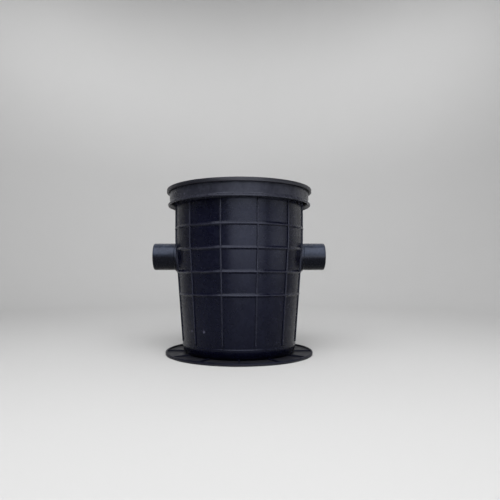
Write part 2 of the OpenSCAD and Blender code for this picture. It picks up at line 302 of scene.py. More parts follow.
def spin_section(name, points, columns=COLUMNS):
    """Draws a section of (radius, height) points and spins it into a solid round the vertical axis.

    A section that starts on the axis also ends there, and any other is closed.
    """
    half = math.pi / columns
    places = [Vector((p[0] * math.cos(half), p[0] * math.sin(half), p[1])) * MM for p in points]
    if points[0][0] > POLE:
        places.append(places[0])
    deselect_all()
    bpy.ops.mesh.primitive_plane_add(size=MM, location=places[0])
    piece = bpy.context.object
    piece.name = name
    settle()
    bpy.ops.object.mode_set(mode="EDIT")
    bpy.ops.mesh.select_mode(type="VERT")
    bpy.ops.mesh.select_all(action="SELECT")
    bpy.ops.mesh.merge(type="CENTER")
    for here, there in zip(places, places[1:]):
        bpy.ops.mesh.extrude_region_move(TRANSFORM_OT_translate={"value": there - here})
    bpy.ops.mesh.select_all(action="SELECT")
    bpy.ops.mesh.spin(steps=columns, angle=2 * math.pi, center=(0, 0, 0), axis=(0, 0, 1))
    bpy.ops.mesh.select_all(action="SELECT")
    bpy.ops.mesh.remove_doubles(threshold=SPIN_WELD * MM)
    bpy.ops.mesh.normals_make_consistent(inside=False)
    bpy.ops.object.mode_set(mode="OBJECT")
    return piece


def block(name, low, high, rounding=0.0, segments=2, along=None):
    """A box between two corners, with its edges bevelled, or only the edges along one axis."""
    low, high = Vector(low), Vector(high)
    deselect_all()
    bpy.ops.mesh.primitive_cube_add(size=1, location=(low + high) / 2 * MM)
    piece = bpy.context.object
    piece.name = name
    piece.scale = (high - low) * MM
    settle()
    if rounding:
        edit(piece)
        pick("edges", lambda edge, middle: along is None or lies_along(edge, along))
        bpy.ops.mesh.bevel(offset=rounding * MM, segments=segments, affect="EDGES")
        bpy.ops.object.mode_set(mode="OBJECT")
    return piece


def lies_along(edge, axis):
    """Whether an edge runs along an axis."""
    run = (edge.verts[1].co - edge.verts[0].co).normalized()
    return abs(run["xyz".index(axis)]) > 0.99


def turned(piece, angle, axis="Z", lift=0.0):
    """Turns a piece about an axis through the origin, then lifts it, and keeps the place in its mesh."""
    select_only(piece)
    piece.rotation_euler["XYZ".index(axis)] = angle
    piece.location.z = lift * MM
    settle()
    return piece


def moved(piece, x):
    """Moves a piece along X and keeps the place in its mesh."""
    select_only(piece)
    piece.location.x = x * MM
    settle()
    return piece


def open_ring(name, place, ring_r, sides, tilt=0.0):
    """A bare circle, level or tilted about X, left selected in edit mode, to draw on into a pipe or wire."""
    deselect_all()
    bpy.ops.mesh.primitive_circle_add(
        vertices=sides, radius=ring_r * MM, location=Vector(place) * MM, rotation=(tilt, 0, 0))
    piece = bpy.context.object
    piece.name = name
    settle()
    bpy.ops.object.mode_set(mode="EDIT")
    bpy.ops.mesh.select_mode(type="EDGE")
    bpy.ops.mesh.select_all(action="SELECT")
    return piece


def draw_on(origin, way, here, ring_r, stations):
    """Extrudes the selected ring along a straight way, from here through stations of (distance, radius)."""
    for there, next_r in stations:
        step = Vector(way) * (there - here) * MM
        bpy.ops.mesh.extrude_region_move(TRANSFORM_OT_translate={"value": step})
        middle = (Vector(origin) + Vector(way) * there) * MM
        bpy.ops.transform.resize(value=(next_r / ring_r,) * 3, center_override=middle)
        here, ring_r = there, next_r


def draw_round(hub, axis, angle, steps):
    """Spins the selected ring on round a hub, by the right-hand rule."""
    bpy.ops.mesh.spin(steps=steps, angle=-angle, center=Vector(hub) * MM, axis=axis)


def copies_round(piece, count, start=0.0):
    """Copies a piece evenly round the vertical axis and joins the copies into one object."""
    copies = [piece]
    for _ in range(1, count):
        copy = piece.copy()
        copy.data = piece.data.copy()
        bpy.context.collection.objects.link(copy)
        copies.append(copy)
    for i, copy in enumerate(copies):
        turned(copy, start + 2 * math.pi * i / count)
    deselect_all()
    for copy in copies:
        copy.select_set(True)
    bpy.context.view_layer.objects.active = piece
    bpy.ops.object.join()
    return piece


def combine(piece, tool, operation):
    """Unites a piece with a tool piece, or cuts the tool out of it, and removes the tool."""
    select_only(piece)
    modifier = piece.modifiers.new(name=operation.lower(), type="BOOLEAN")
    modifier.operation = operation
    modifier.solver = "EXACT"
    modifier.object = tool
    bpy.ops.object.modifier_apply(modifier=modifier.name)
    bpy.data.objects.remove(tool)


def finish_piece(piece, body, slot, finish, *nodes):
    """Gives a modelled piece its shading, finish and place on its body, in the stead of its CAD nodes."""
    edit(piece)
    bpy.ops.mesh.select_all(action="SELECT")
    bpy.ops.mesh.remove_doubles(threshold=PIECE_WELD * MM)
    bpy.ops.mesh.normals_make_consistent(inside=False)
    bpy.ops.object.mode_set(mode="OBJECT")
    bpy.ops.object.shade_smooth_by_angle(angle=math.radians(SMOOTH_ANGLE))
    piece.data.materials.clear()
    piece.data.materials.append(finish)
    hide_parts(*nodes)
    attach(piece, body)


# Tank

def tank_section():
    """The tank's closed section: underside, flange, heel, wall, collar, mouth, inside and floor."""
    flange_in_r = FLANGE_R - FLANGE_EDGE_W
    heel_r = wall_r(HEEL_H) - HEEL_IN
    foot_ring_r = heel_r - HEEL_IN
    foot = rounded([
        (POLE, FOOT_HOLLOW, 0), (foot_ring_r, FOOT_HOLLOW, EDGE_ROUND),
        (foot_ring_r + FOOT_HOLLOW, 0, EDGE_ROUND), (FLANGE_R, 0, EDGE_ROUND),
        (FLANGE_R, FLANGE_EDGE_H, EDGE_ROUND), (flange_in_r, FLANGE_EDGE_H, EDGE_ROUND),
        (flange_in_r, FLANGE_T, EDGE_ROUND), (heel_r + FLANGE_T, FLANGE_T, 0)])[:-1]
    return foot + heel_points(heel_r) + wall_points() + collar_points() + inside_points(heel_r)


def heel_curve(low_r, low_z, high_r, high_z, turns):
    """Points on a quarter curve that leaves the low place level and reaches the high one upright."""
    return [Vector((low_r + (high_r - low_r) * math.sin(a), low_z + (high_z - low_z) * (1 - math.cos(a))))
            for a in turns]


def heel_points(heel_r):
    """The rounded heel from the flange up to the small step under the wall."""
    high_r, high_z = wall_r(HEEL_H) + HEEL_STEP, HEEL_H - 2 * HEEL_STEP
    turns = [math.pi / 2 * i / HEEL_ROWS for i in range(HEEL_ROWS + 1)]
    step = [(high_r, high_z, 0), (high_r, HEEL_H - HEEL_STEP, HEEL_STEP / 3),
            (wall_r(HEEL_H), HEEL_H, HEEL_STEP / 3), (wall_r(RIB_FOOT_Z), RIB_FOOT_Z, 0)]
    return heel_curve(heel_r + FLANGE_T, FLANGE_T, high_r, high_z, turns) + rounded(step)[1:-1]


def wall_points():
    """The wall with its four hoops, and rows close to each hoop that keep the plain wall's shading even."""
    corners = [(wall_r(RIB_FOOT_Z), RIB_FOOT_Z, 0)]
    for z in HOOPS:
        if z > TAPER_TOP_Z and corners[-1][1] < TAPER_TOP_Z:
            corners.append((TANK_R, TAPER_TOP_Z, TAPER_TOP_ROUND))
        corners += [(wall_r(z + up) + out, z + up, rounding) for up, out, rounding in HOOP_SHAPE]
    return rounded(corners + [(TANK_R, RIB_TOP_Z, 0)])


def collar_points():
    """The rim plate's underside, the hanging collar with its flared lip, and the rim's top."""
    under_z = RIM_Z - RIM_T
    neck_z = LIP_Z + LIP_H
    neck_r = COLLAR_R - (RIM_Z - neck_z) * COLLAR_DRAFT
    lip_r = neck_r + LIP_OUT
    return rounded([
        (TANK_R, RIB_TOP_Z + 1, 0), (TANK_R, under_z, 1.5), (COLLAR_R - COLLAR_WALL, under_z, 1.5),
        (neck_r - COLLAR_WALL, neck_z, 2), (lip_r - COLLAR_WALL, LIP_Z + 1, 1.2),
        (lip_r - COLLAR_WALL, LIP_Z, 0.6), (lip_r, LIP_Z, 1.7), (lip_r, LIP_Z + LIP_H / 2, 1.2),
        (neck_r, neck_z - 0.5, 2.4), (COLLAR_R, RIM_Z, 1.4), (TANK_R - WALL, RIM_Z, 1.4),
        (TANK_R - WALL, TAPER_TOP_Z, 0)], steps=4)[:-1]


def inside_points(heel_r):
    """The inside wall down to the floor's centre."""
    points = [Vector((TANK_R - WALL, TAPER_TOP_Z + 2)), Vector((TANK_R - WALL - 0.1, TAPER_TOP_Z - 2))]
    turns = [math.pi / 2 * (1 - i / HEEL_ROWS) for i in range(HEEL_ROWS + 1)]
    points += heel_curve(heel_r - WALL, FLOOR_Z, wall_r(HEEL_H) - WALL, HEEL_H, turns)
    return points + [Vector((POLE, FLOOR_Z))]


def uprights():
    """The upright ribs: bars that follow the wall's taper, with a sloping foot and rounded outer edges."""
    bar = block("upright", (TANK_R - WALL / 2, -RIB_W / 2, RIB_FOOT_Z),
                (TANK_R + RIB_PROUD, RIB_W / 2, RIB_TOP_Z))
    edit(bar)
    bpy.ops.mesh.select_all(action="SELECT")
    bpy.ops.mesh.bisect(plane_co=(0, 0, TAPER_TOP_Z * MM), plane_no=(0, 0, 1))
    pick("verts", lambda vert, place: place.z < RIB_FOOT_Z + 1)
    bpy.ops.transform.translate(value=((RIB_FOOT_Z - TAPER_TOP_Z) * TAPER * MM, 0, 0))
    pick("verts", lambda vert, place: place.z < RIB_FOOT_Z + 1 and place.x > wall_r(place.z))
    bpy.ops.transform.translate(value=(0, 0, RIB_PROUD * MM))
    pick("edges", lambda edge, middle: middle.x > wall_r(middle.z) + 1 and abs(middle.y) > RIB_W / 2 - 0.1)
    bpy.ops.mesh.bevel(offset=RIB_ROUND * MM, segments=4, affect="EDGES")
    bpy.ops.object.mode_set(mode="OBJECT")
    return copies_round(bar, UPRIGHTS, math.pi / UPRIGHTS)


def collar_webs():
    """The webs under the rim plate, one over each upright, sloping up from the wall to the collar."""
    under_z = RIM_Z - RIM_T
    web = block("web", (TANK_R - WALL / 2, -RIB_W / 2, under_z - WEB_H * 1.5),
                (COLLAR_R - COLLAR_WALL / 2, RIB_W / 2, under_z + RIM_T / 2))
    edit(web)
    pick("verts", lambda vert, place: place.x > TANK_R + WALL and place.z < under_z)
    bpy.ops.transform.translate(value=(0, 0, WEB_H / 2 * MM))
    bpy.ops.object.mode_set(mode="OBJECT")
    return copies_round(web, UPRIGHTS, math.pi / UPRIGHTS)


def flange_spokes():
    """The radial ribs on the base flange, from inside the heel to the raised edge."""
    inner = wall_r(HEEL_H) - HEEL_IN + WALL
    spoke = block("spoke", (inner, -SPOKE_W / 2, FLANGE_T - SPOKE_SINK),
                  (FLANGE_R - FLANGE_EDGE_W / 2, SPOKE_W / 2, SPOKE_TOP_Z), SPOKE_ROUND)
    return copies_round(spoke, SPOKES)


def spigot_rods():
    """The two spigots as solid rods with a thicker rounded root and a chamfered end, along X."""
    turns = [math.pi / 2 * i / ROOT_STEPS for i in range(ROOT_STEPS + 1)]
    root = [Vector((PIPE_R + ROOT_ROUND * (1 - math.sin(a)), ROOT_END + ROOT_ROUND * (1 - math.cos(a))))
            for a in turns]
    pipe = rounded([root[-1][:] + (0,), (PIPE_R, SPIGOT_END - SPIGOT_CHAMFER, 1),
                    (PIPE_R - SPIGOT_CHAMFER / 2, SPIGOT_END, 0.5), (POLE, SPIGOT_END, 0)])
    start = [Vector((POLE, SPIGOT_START)), Vector((PIPE_R + ROOT_ROUND, SPIGOT_START))]
    rod = spin_section("spigot", start + root + pipe[1:], PIPE_COLUMNS)
    turned(rod, math.pi / 2, "Y", SPIGOT_Z)
    return copies_round(rod, 2)


def spigot_bores():
    """What is cut out of the spigots and the wall: two bores with a rounded mouth."""
    bore = spin_section("bore", rounded([
        (POLE, TANK_R - 4 * WALL, 0), (BORE_R, TANK_R - 4 * WALL, 0), (BORE_R, SPIGOT_END, 1.2),
        (BORE_R + CUT_FLARE, SPIGOT_END + CUT_PAST, 0), (POLE, SPIGOT_END + CUT_PAST, 0)]), PIPE_COLUMNS)
    turned(bore, math.pi / 2, "Y", SPIGOT_Z)
    return copies_round(bore, 2)


def make_tank(finish):
    """The tank as one moulding: the spun body with its ribs, webs, spokes and spigots."""
    tank = spin_section("tank", tank_section())
    combine(tank, uprights(), "UNION")
    combine(tank, collar_webs(), "UNION")
    combine(tank, flange_spokes(), "UNION")
    combine(tank, spigot_rods(), "UNION")
    combine(tank, spigot_bores(), "DIFFERENCE")
    finish_piece(tank, "tank", "tank_plastic", finish, "tank_body")


# Lid

def lid_section():
    """The lid's closed section: finger well, panel, raised band, edge, gasket groove, plug and underside."""
    panel_z = LID_TOP_Z - LID_STEP
    well_z = panel_z - WELL_H
    band_in_r = LID_R - LID_BAND_W
    edge_z = LID_TOP_Z - LID_EDGE_H
    groove_z = LID_UNDER_Z + GASKET_SEAT
    panel_under_z = panel_z - LID_WALL
    plug_in_r = PLUG_R - LID_WALL
    return rounded([
        (POLE, well_z, 0), (WELL_R - WELL_DRAFT, well_z, 4), (WELL_R, panel_z, 2),
        (band_in_r - LID_STEP, panel_z, 0.8), (band_in_r, LID_TOP_Z, 0.8), (LID_R, LID_TOP_Z, LID_ROUND),
        (LID_R, edge_z, 0.7), (LID_EDGE_IN_R, edge_z, 0.7), (LID_EDGE_IN_R, LID_UNDER_Z, 0.7),
        (GASKET_R + GROOVE_W / 2, LID_UNDER_Z, 0.2), (GASKET_R + GROOVE_W / 2, groove_z, 0.2),
        (GASKET_R - GROOVE_W / 2, groove_z, 0.2), (GASKET_R - GROOVE_W / 2, LID_UNDER_Z, 0.2),
        (PLUG_R, LID_UNDER_Z, 0.6), (PLUG_R, PLUG_Z + LID_WALL, 1), (PLUG_R - LID_WALL / 2, PLUG_Z, 0.4),
        (plug_in_r, PLUG_Z, 0.4), (plug_in_r, panel_under_z, 1.5), (WELL_R + LID_WALL, panel_under_z, 1.5),
        (WELL_R - WELL_DRAFT + LID_WALL, LID_LOW_Z, 3), (POLE, LID_LOW_Z, 0)], steps=4)


def grip_bar():
    """The rounded bar across the finger well, along Y."""
    top = LID_TOP_Z - LID_STEP - GRIP_DROP
    end = WELL_R + LID_WALL / 2
    return block("grip", (-GRIP_W / 2, -end, top - GRIP_T), (GRIP_W / 2, end, top),
                 rounding=GRIP_ROUND, segments=6, along="y")


def lid_ribs():
    """The stiffening ribs under the lid's panel, from the well's wall to the plug ring."""
    under_z = LID_TOP_Z - LID_STEP - LID_WALL
    rib = block("lid_rib", (WELL_R + LID_WALL / 2, -LID_RIB_W / 2, under_z - LID_RIB_H),
                (PLUG_R - LID_WALL / 2, LID_RIB_W / 2, under_z + LID_WALL / 2), LID_RIB_ROUND)
    return copies_round(rib, LID_RIBS)


def make_lid(finish):
    """The lid: the spun cover with its grip bar and the ribs under its panel."""
    lid = spin_section("lid_cover", lid_section())
    combine(lid, grip_bar(), "UNION")
    combine(lid, lid_ribs(), "UNION")
    finish_piece(lid, "lid", "lid_plastic", finish, "lid")


def make_gasket(finish):
    """The flat gasket ring in the lid's groove."""
    inner, outer = GASKET_R - GASKET_W / 2, GASKET_R + GASKET_W / 2
    low, high = RIM_Z + GASKET_GAP, LID_UNDER_Z + GASKET_SEAT - GASKET_GAP
    gasket = spin_section("gasket", rounded([
        (inner, low, 0.5), (outer, low, 0.5), (outer, high, 0.3), (inner, high, 0.3)]))
    finish_piece(gasket, "lid", "seal_rubber", finish, "lid_seal")


# Fittings

def tail_outside(start):
    """Corners of a tail's outside: stop collar, groove for the O-ring, and chamfered tip."""
    groove_in, groove_out = ORING_X - ORING_GROOVE_W / 2, ORING_X + ORING_GROOVE_W / 2
    return [
        (TAIL_R, start, 0), (TAIL_R, STOP_FACE - STOP_T, 1), (STOP_R, STOP_FACE - STOP_T, 1),
        (STOP_R, STOP_FACE, 0.5), (TAIL_R, STOP_FACE, 0.4), (TAIL_R, groove_in, 0.3),
        (ORING_GROOVE_R, groove_in, 0.3), (ORING_GROOVE_R, groove_out, 0.3), (TAIL_R, groove_out, 0.3),
        (TAIL_R, TAIL_TIP - PIPE_CHAMFER, 1), (TAIL_R - PIPE_CHAMFER / 2, TAIL_TIP, 0.5)]


def make_bend(finish):
    """The inlet bend, drawn as one pipe: from its mouth round the turn, along the tail, and back inside."""
    hub = (BEND_X - BEND_R, 0, SPIGOT_Z - BEND_R)
    mouth = (BEND_X, 0, SPIGOT_Z - BEND_R)
    turn_end = (BEND_X - BEND_R, 0, SPIGOT_Z)
    bend = open_ring("inlet_elbow", mouth, TAIL_R - MOUTH_ROUND, BEND_SIDES)
    lip = [(0.3 * MOUTH_ROUND, TAIL_R - 0.3 * MOUTH_ROUND), (MOUTH_ROUND, TAIL_R)]
    draw_on(mouth, (0, 0, 1), 0, TAIL_R - MOUTH_ROUND, lip)
    draw_round(hub, (0, 1, 0), -math.pi / 2, BEND_STEPS)
    straight = rounded(tail_outside(BEND_R - BEND_X + 2 * MOUTH_ROUND) + [
        (TAIL_BORE_R + 1, TAIL_TIP, 0.5), (TAIL_BORE_R, TAIL_TIP - 1.5, 1),
        (TAIL_BORE_R, BEND_R - BEND_X + MOUTH_ROUND, 0)])
    draw_on(turn_end, (-1, 0, 0), MOUTH_ROUND, TAIL_R,
            [(along - BEND_R + BEND_X, ring_r) for ring_r, along in straight])
    draw_round(hub, (0, 1, 0), math.pi / 2, BEND_STEPS)
    draw_on(mouth, (0, 0, 1), MOUTH_ROUND, TAIL_BORE_R,
            [(0.3 * MOUTH_ROUND, TAIL_BORE_R + 0.3 * MOUTH_ROUND), (0, TAIL_BORE_R + MOUTH_ROUND)])
    pick("edges", lambda edge, middle: edge.is_boundary)
    bpy.ops.mesh.bridge_edge_loops()
    finish_piece(bend, "tank", "fitting_plastic", finish, "inlet_bend")


def tee_bores():
    """What is cut out of the tee's upright run: open top, socket and the groove of its ring."""
    bore = spin_section("run_bore", rounded([
        (POLE, SOCKET_Z - CUT_PAST, 0), (SOCKET_IN_R + CUT_FLARE, SOCKET_Z - CUT_PAST, 0),
        (SOCKET_IN_R, SOCKET_Z + CUT_PAST, 0.5), (SOCKET_IN_R, SEAL_Z, 0.3), (SEAL_R, SEAL_Z, 0.3),
        (SEAL_R, SEAL_Z + SEAL_H, 0.3), (SOCKET_IN_R, SEAL_Z + SEAL_H, 0.3),
        (SOCKET_IN_R, SOCKET_TOP_Z, 0.3), (BORE_R, SOCKET_TOP_Z, 0.5),
        (BORE_R, TEE_TOP_Z - CUT_PAST, 0.5), (BORE_R + CUT_FLARE, TEE_TOP_Z + CUT_PAST, 0),
        (POLE, TEE_TOP_Z + CUT_PAST, 0)]), PIPE_COLUMNS)
    return moved(bore, TEE_X)


def make_tee(finish):
    """The outlet tee: an upright run with a beaded socket, and the tail with its bore."""
    run = spin_section("outlet_branch", rounded([
        (POLE, SOCKET_Z, 0), (BEAD_R, SOCKET_Z, 1.2), (BEAD_R, BEAD_TOP_Z, 1.5),
        (SOCKET_R, BEAD_TOP_Z + SHOULDER_H, 1.5), (SOCKET_R, SOCKET_TOP_Z, 1.5),
        (PIPE_R, SOCKET_TOP_Z + SHOULDER_H, 1.5), (PIPE_R, TEE_TOP_Z, 0.8),
        (POLE, TEE_TOP_Z, 0)]), PIPE_COLUMNS)
    moved(run, TEE_X)
    outside = [(POLE, TEE_X, 0)] + tail_outside(TEE_X) + [(POLE, TAIL_TIP, 0)]
    tail = spin_section("tail", rounded(outside), PIPE_COLUMNS)
    combine(run, turned(tail, math.pi / 2, "Y", SPIGOT_Z), "UNION")
    combine(run, tee_bores(), "DIFFERENCE")
    bore = spin_section("tail_bore", rounded([
        (POLE, TEE_X, 0), (TAIL_BORE_R, TEE_X, 0), (TAIL_BORE_R, TAIL_TIP - CUT_PAST, 0.5),
        (TAIL_BORE_R + CUT_FLARE, TAIL_TIP + CUT_PAST, 0), (POLE, TAIL_TIP + CUT_PAST, 0)]), PIPE_COLUMNS)
    combine(run, turned(bore, math.pi / 2, "Y", SPIGOT_Z), "DIFFERENCE")
    finish_piece(run, "tank", "fitting_plastic", finish, "outlet_tee")


def make_dip_pipe(finish):
    """The dip pipe, whose chamfered top sits in the tee's socket."""
    pipe = spin_section("dip_tube", rounded([
        (BORE_R, DIP_Z, 1.2), (PIPE_R, DIP_Z, 1.2), (PIPE_R, DIP_TOP_Z - PIPE_CHAMFER, 1),
        (PIPE_R - PIPE_CHAMFER / 2, DIP_TOP_Z, 0.5), (BORE_R, DIP_TOP_Z, 0.8)], steps=4), PIPE_COLUMNS)
    finish_piece(moved(pipe, TEE_X), "tank", "fitting_plastic", finish, "dip_pipe")


# Basket

def basket_slots():
    """What is cut out of the basket: two rows of slots round its side, and slots across its bottom."""
    slots = []
    for z in SLOT_ZS:
        slot = block("slot", (FOOT_AT_R, -SLOT_W / 2, z - SLOT_H / 2),
                     (BASKET_RIM_R + BASKET_R, SLOT_W / 2, z + SLOT_H / 2), SLOT_ROUND, 5, along="x")
        slots.append(copies_round(slot, SLOTS, math.pi / SLOTS))
    slot = block("floor_slot", (FLOOR_SLOT_IN_R, -SLOT_W / 2, BASKET_Z - BASKET_WALL),
                 (FOOT_AT_R, SLOT_W / 2, BASKET_Z + 2 * BASKET_WALL), SLOT_ROUND, 5, along="z")
    slots.append(copies_round(slot, FLOOR_SLOTS))
    return slots


def bail_ears():
    """The two ears on the basket's rim, round-topped and drilled for the bail."""
    ear = block("ear", (-EAR_W / 2, EAR_IN_Y, BASKET_RIM_Z - BASKET_RIM_T / 2),
                (EAR_W / 2, EAR_Y, EAR_TOP_Z))
    edit(ear)
    pick("edges", lambda edge, middle: lies_along(edge, "y") and middle.z > BASKET_RIM_Z)
    bpy.ops.mesh.bevel(offset=EAR_ROUND * MM, segments=8, affect="EDGES")
    bpy.ops.object.mode_set(mode="OBJECT")
    outer, inner = -EAR_Y - EAR_W, -EAR_IN_Y + EAR_W
    hole = spin_section("ear_hole", [
        (POLE, outer), (BAIL_HOLE_R, outer), (BAIL_HOLE_R, inner), (POLE, inner)], PIN_COLUMNS)
    combine(ear, turned(hole, math.pi / 2, "X", BAIL_Z), "DIFFERENCE")
    return copies_round(ear, 2)


def make_basket(finish):
    """The slotted basket with its feet and the ears for its bail."""
    side_z = BASKET_RIM_Z - BASKET_RIM_T
    basket = spin_section("solids_basket", rounded([
        (POLE, BASKET_Z, 0), (BASKET_FOOT_R, BASKET_Z, 2), (BASKET_R, side_z, 1), (BASKET_RIM_R, side_z, 1),
        (BASKET_RIM_R, BASKET_RIM_Z, 1), (BASKET_R - BASKET_WALL, BASKET_RIM_Z, 1),
        (BASKET_FOOT_R - BASKET_WALL, BASKET_Z + BASKET_WALL, 1.5),
        (POLE, BASKET_Z + BASKET_WALL, 0)], steps=4), BASKET_COLUMNS)
    foot = spin_section("foot", rounded([
        (POLE, FOOT_Z, 0), (FOOT_R, FOOT_Z, 1), (FOOT_R, BASKET_Z + BASKET_WALL / 2, 0),
        (POLE, BASKET_Z + BASKET_WALL / 2, 0)]), PIN_COLUMNS)
    combine(basket, copies_round(moved(foot, FOOT_AT_R), FEET, math.pi / FLOOR_SLOTS), "UNION")
    combine(basket, bail_ears(), "UNION")
    for slots in basket_slots():
        combine(basket, slots, "DIFFERENCE")
    finish_piece(moved(basket, BASKET_X), "tank", "basket_plastic", finish, "strainer_basket")


def make_bail(finish):
    """The bail, drawn as one wire: pin, turn, half circle over the rim towards +X, turn and pin."""
    start = (BASKET_X, -BAIL_END, BAIL_Z)
    turn_x = BASKET_X + BAIL_TURN
    pin_end = BAIL_END - BAIL_R - BAIL_TURN
    tip = BAIL_WIRE_R - BAIL_TIP_R
    bail = open_ring("wire_bail", start, BAIL_TIP_R, WIRE_SIDES, math.pi / 2)
    draw_on(start, (0, 1, 0), 0, BAIL_TIP_R, [(tip, BAIL_WIRE_R), (pin_end, BAIL_WIRE_R)])
    draw_round((turn_x, -BAIL_R - BAIL_TURN, BAIL_Z), (0, 0, 1), -math.pi / 2, TURN_STEPS)
    draw_round((turn_x, 0, BAIL_Z), (0, 0, 1), math.pi, ARCH_STEPS)
    draw_round((turn_x, BAIL_R + BAIL_TURN, BAIL_Z), (0, 0, 1), -math.pi / 2, TURN_STEPS)
    draw_on((BASKET_X, BAIL_END, BAIL_Z), (0, 1, 0), -pin_end, BAIL_WIRE_R,
            [(-tip, BAIL_WIRE_R), (0, BAIL_TIP_R)])
    for side in (-1, 1):
        pick("edges", lambda edge, middle: edge.is_boundary and middle.y * side > 0)
        bpy.ops.mesh.edge_face_add()
    finish_piece(bail, "bail", "bail_steel", finish, "basket_bail")


# Finishes

# Colours of the tank, as linear red, green and blue
NAVY_DEEP = (0.0012, 0.0014, 0.007)
NAVY_PALE = (0.0025, 0.0028, 0.01)
NAVY_TINT = (0.74, 0.8, 1)
# Painted sheen on the collar, laid on in patches
COLLAR_PAINTED_SHEEN = (0.027, 0.0282, 0.038)
# Painted shade over the spigots, and a painted highlight on their tops
SPIGOT_PAINTED_SHADE = (0.001, 0.0011, 0.003)
SPIGOT_PAINTED_HIGHLIGHT = (0.038, 0.047, 0.073)
# Painted highlight on the rib crests
RIB_PAINTED_HIGHLIGHT = (0.021, 0.022, 0.034)
# Dust on the flange's plate, which leaves the spokes and raised edge dark as painted shade lines
FLANGE_DUST_AND_SHADE = (0.023, 0.023, 0.025)
PALE_SPOT = (0.075, 0.075, 0.11)

# Small pale spots on the tank: place and reach
PALE_SPOTS = (((-71.7, -106.6, 59.4), 4), ((-98.6, -82.8, 58.6), 3), ((-111.7, -108.6, 342), 3))

# How far proud of the wall the painted highlight on a rib begins, is full, begins to fade and ends
CREST_BEGIN, CREST_FULL, CREST_FADE, CREST_END = 1.5, 2.3, 3.2, 4

# Heights from the spigots' axis over which their painted highlight comes in, and where it starts along X
SPIGOT_HIGHLIGHT_LOW, SPIGOT_HIGHLIGHT_HIGH = -2.4, 7.5
SPIGOT_HIGHLIGHT_X = TANK_R - 14

# Colours of the other pieces
LID_DEEP, LID_PALE, LID_TINT = (0.006, 0.006, 0.010), (0.010, 0.010, 0.014), (0.85, 0.88, 1)
FITTING_DEEP, FITTING_PALE = (0.02, 0.021, 0.024), (0.032, 0.033, 0.037)
BASKET_DEEP, BASKET_PALE = (0.03, 0.031, 0.035), (0.044, 0.045, 0.05)
RUBBER_DEEP, RUBBER_PALE = (0.008, 0.008, 0.008), (0.016, 0.016, 0.017)
STEEL_DEEP, STEEL_PALE = (0.5, 0.5, 0.5), (0.66, 0.66, 0.65)


class Finish:
    """A node material with the few nodes that the trap's finishes are made of."""

    def __init__(self, name, roughness=0.5, metallic=0.0, specular=0.5):
        self.material = bpy.data.materials.new(name)
        self.material.use_nodes = True
        self.tree = self.material.node_tree
        self.shader = self.tree.nodes["Principled BSDF"]
        self.shader.inputs["Roughness"].default_value = roughness
        self.shader.inputs["Metallic"].default_value = metallic
        self.shader.inputs["Specular IOR Level"].default_value = specular
        self.coords = self.tree.nodes.new("ShaderNodeTexCoord").outputs["Object"]

    def link(self, output, node, socket):
        self.tree.links.new(output, node.inputs[socket])

    def noise(self, scale, detail=3.0, stretch=(1, 1, 1)):
        """Noise of about 1 / scale metres across, stretched along an axis if wanted."""
        mapping = self.tree.nodes.new("ShaderNodeMapping")
        mapping.inputs["Scale"].default_value = stretch
        self.link(self.coords, mapping, "Vector")
        texture = self.tree.nodes.new("ShaderNodeTexNoise")
        texture.inputs["Scale"].default_value = scale
        texture.inputs["Detail"].default_value = detail
        self.link(mapping.outputs["Vector"], texture, "Vector")
        return texture.outputs["Fac"]

    def spread(self, factor, low, high, to_low=0.0, to_high=1.0):
        """Maps a factor from low..high to to_low..to_high, held at the ends."""
        node = self.tree.nodes.new("ShaderNodeMapRange")
        for socket, value in (("From Min", low), ("From Max", high), ("To Min", to_low), ("To Max", to_high)):
            node.inputs[socket].default_value = value
        self.link(factor, node, "Value")
        return node.outputs["Result"]

    def mix(self, factor, first, second):
        """Mixes two colours, each a value or another node's output."""
        node = self.tree.nodes.new("ShaderNodeMix")
        node.data_type = "RGBA"
        self.link(factor, node, 0)
        for socket, colour in ((6, first), (7, second)):
            if isinstance(colour, tuple):
                node.inputs[socket].default_value = (*colour, 1)
            else:
                self.link(colour, node, socket)
        return node.outputs[2]

    def bump(self, height, strength, depth, under=None):
        """Relief of a depth in mm, laid over an earlier relief if there is one."""
        node = self.tree.nodes.new("ShaderNodeBump")
        node.inputs["Strength"].default_value = strength
        node.inputs["Distance"].default_value = depth * MM
        self.link(height, node, "Height")
        if under is not None:
            self.link(under, node, "Normal")
        return node.outputs["Normal"]

    def math(self, operation, first, second):
        """A sum worked out at each point, from outputs or numbers."""
        node = self.tree.nodes.new("ShaderNodeMath")
        node.operation = operation
        for socket, value in enumerate((first, second)):
            if isinstance(value, (int, float)):
                node.inputs[socket].default_value = value
            else:
                self.link(value, node, socket)
        return node.outputs["Value"]

    def xyz(self):
        """A point's own coordinates, one output for each axis."""
        split = self.tree.nodes.new("ShaderNodeSeparateXYZ")
        self.link(self.coords, split, "Vector")
        return [split.outputs[axis] for axis in "XYZ"]

    def length(self, first, second):
        """The distance that two distances at right angles make together."""
        squares = [self.math("MULTIPLY", side, side) for side in (first, second)]
        return self.math("SQRT", self.math("ADD", *squares), 0)

    def within(self, axis, middle, reach, fade):
        """1 where a point is within reach of a plane across an axis, in mm, falling to 0 over the fade."""
        place = self.xyz()["XYZ".index(axis)]
        apart = self.math("ABSOLUTE", self.math("SUBTRACT", place, middle * MM), 0)
        return self.spread(apart, reach * MM, (reach + fade) * MM, 1.0, 0.0)

    def along_x(self, height, reach, fade):
        """1 within reach of a line along X at a height, in mm, falling to 0 over the fade."""
        _, y, z = self.xyz()
        away = self.length(y, self.math("SUBTRACT", z, height * MM))
        return self.spread(away, reach * MM, (reach + fade) * MM, 1.0, 0.0)

    def above(self, low, high):
        """0 to 1 as a point rises from one height to another, in mm."""
        return self.spread(self.xyz()[2], low * MM, high * MM)

    def near(self, place, reach):
        """1 at a place given in mm, falling to 0 at the reach."""
        node = self.tree.nodes.new("ShaderNodeVectorMath")
        node.operation = "DISTANCE"
        node.inputs[1].default_value = Vector(place) * MM
        self.link(self.coords, node, 0)
        return self.spread(node.outputs["Value"], 0.2 * reach * MM, reach * MM, 1.0, 0.0)


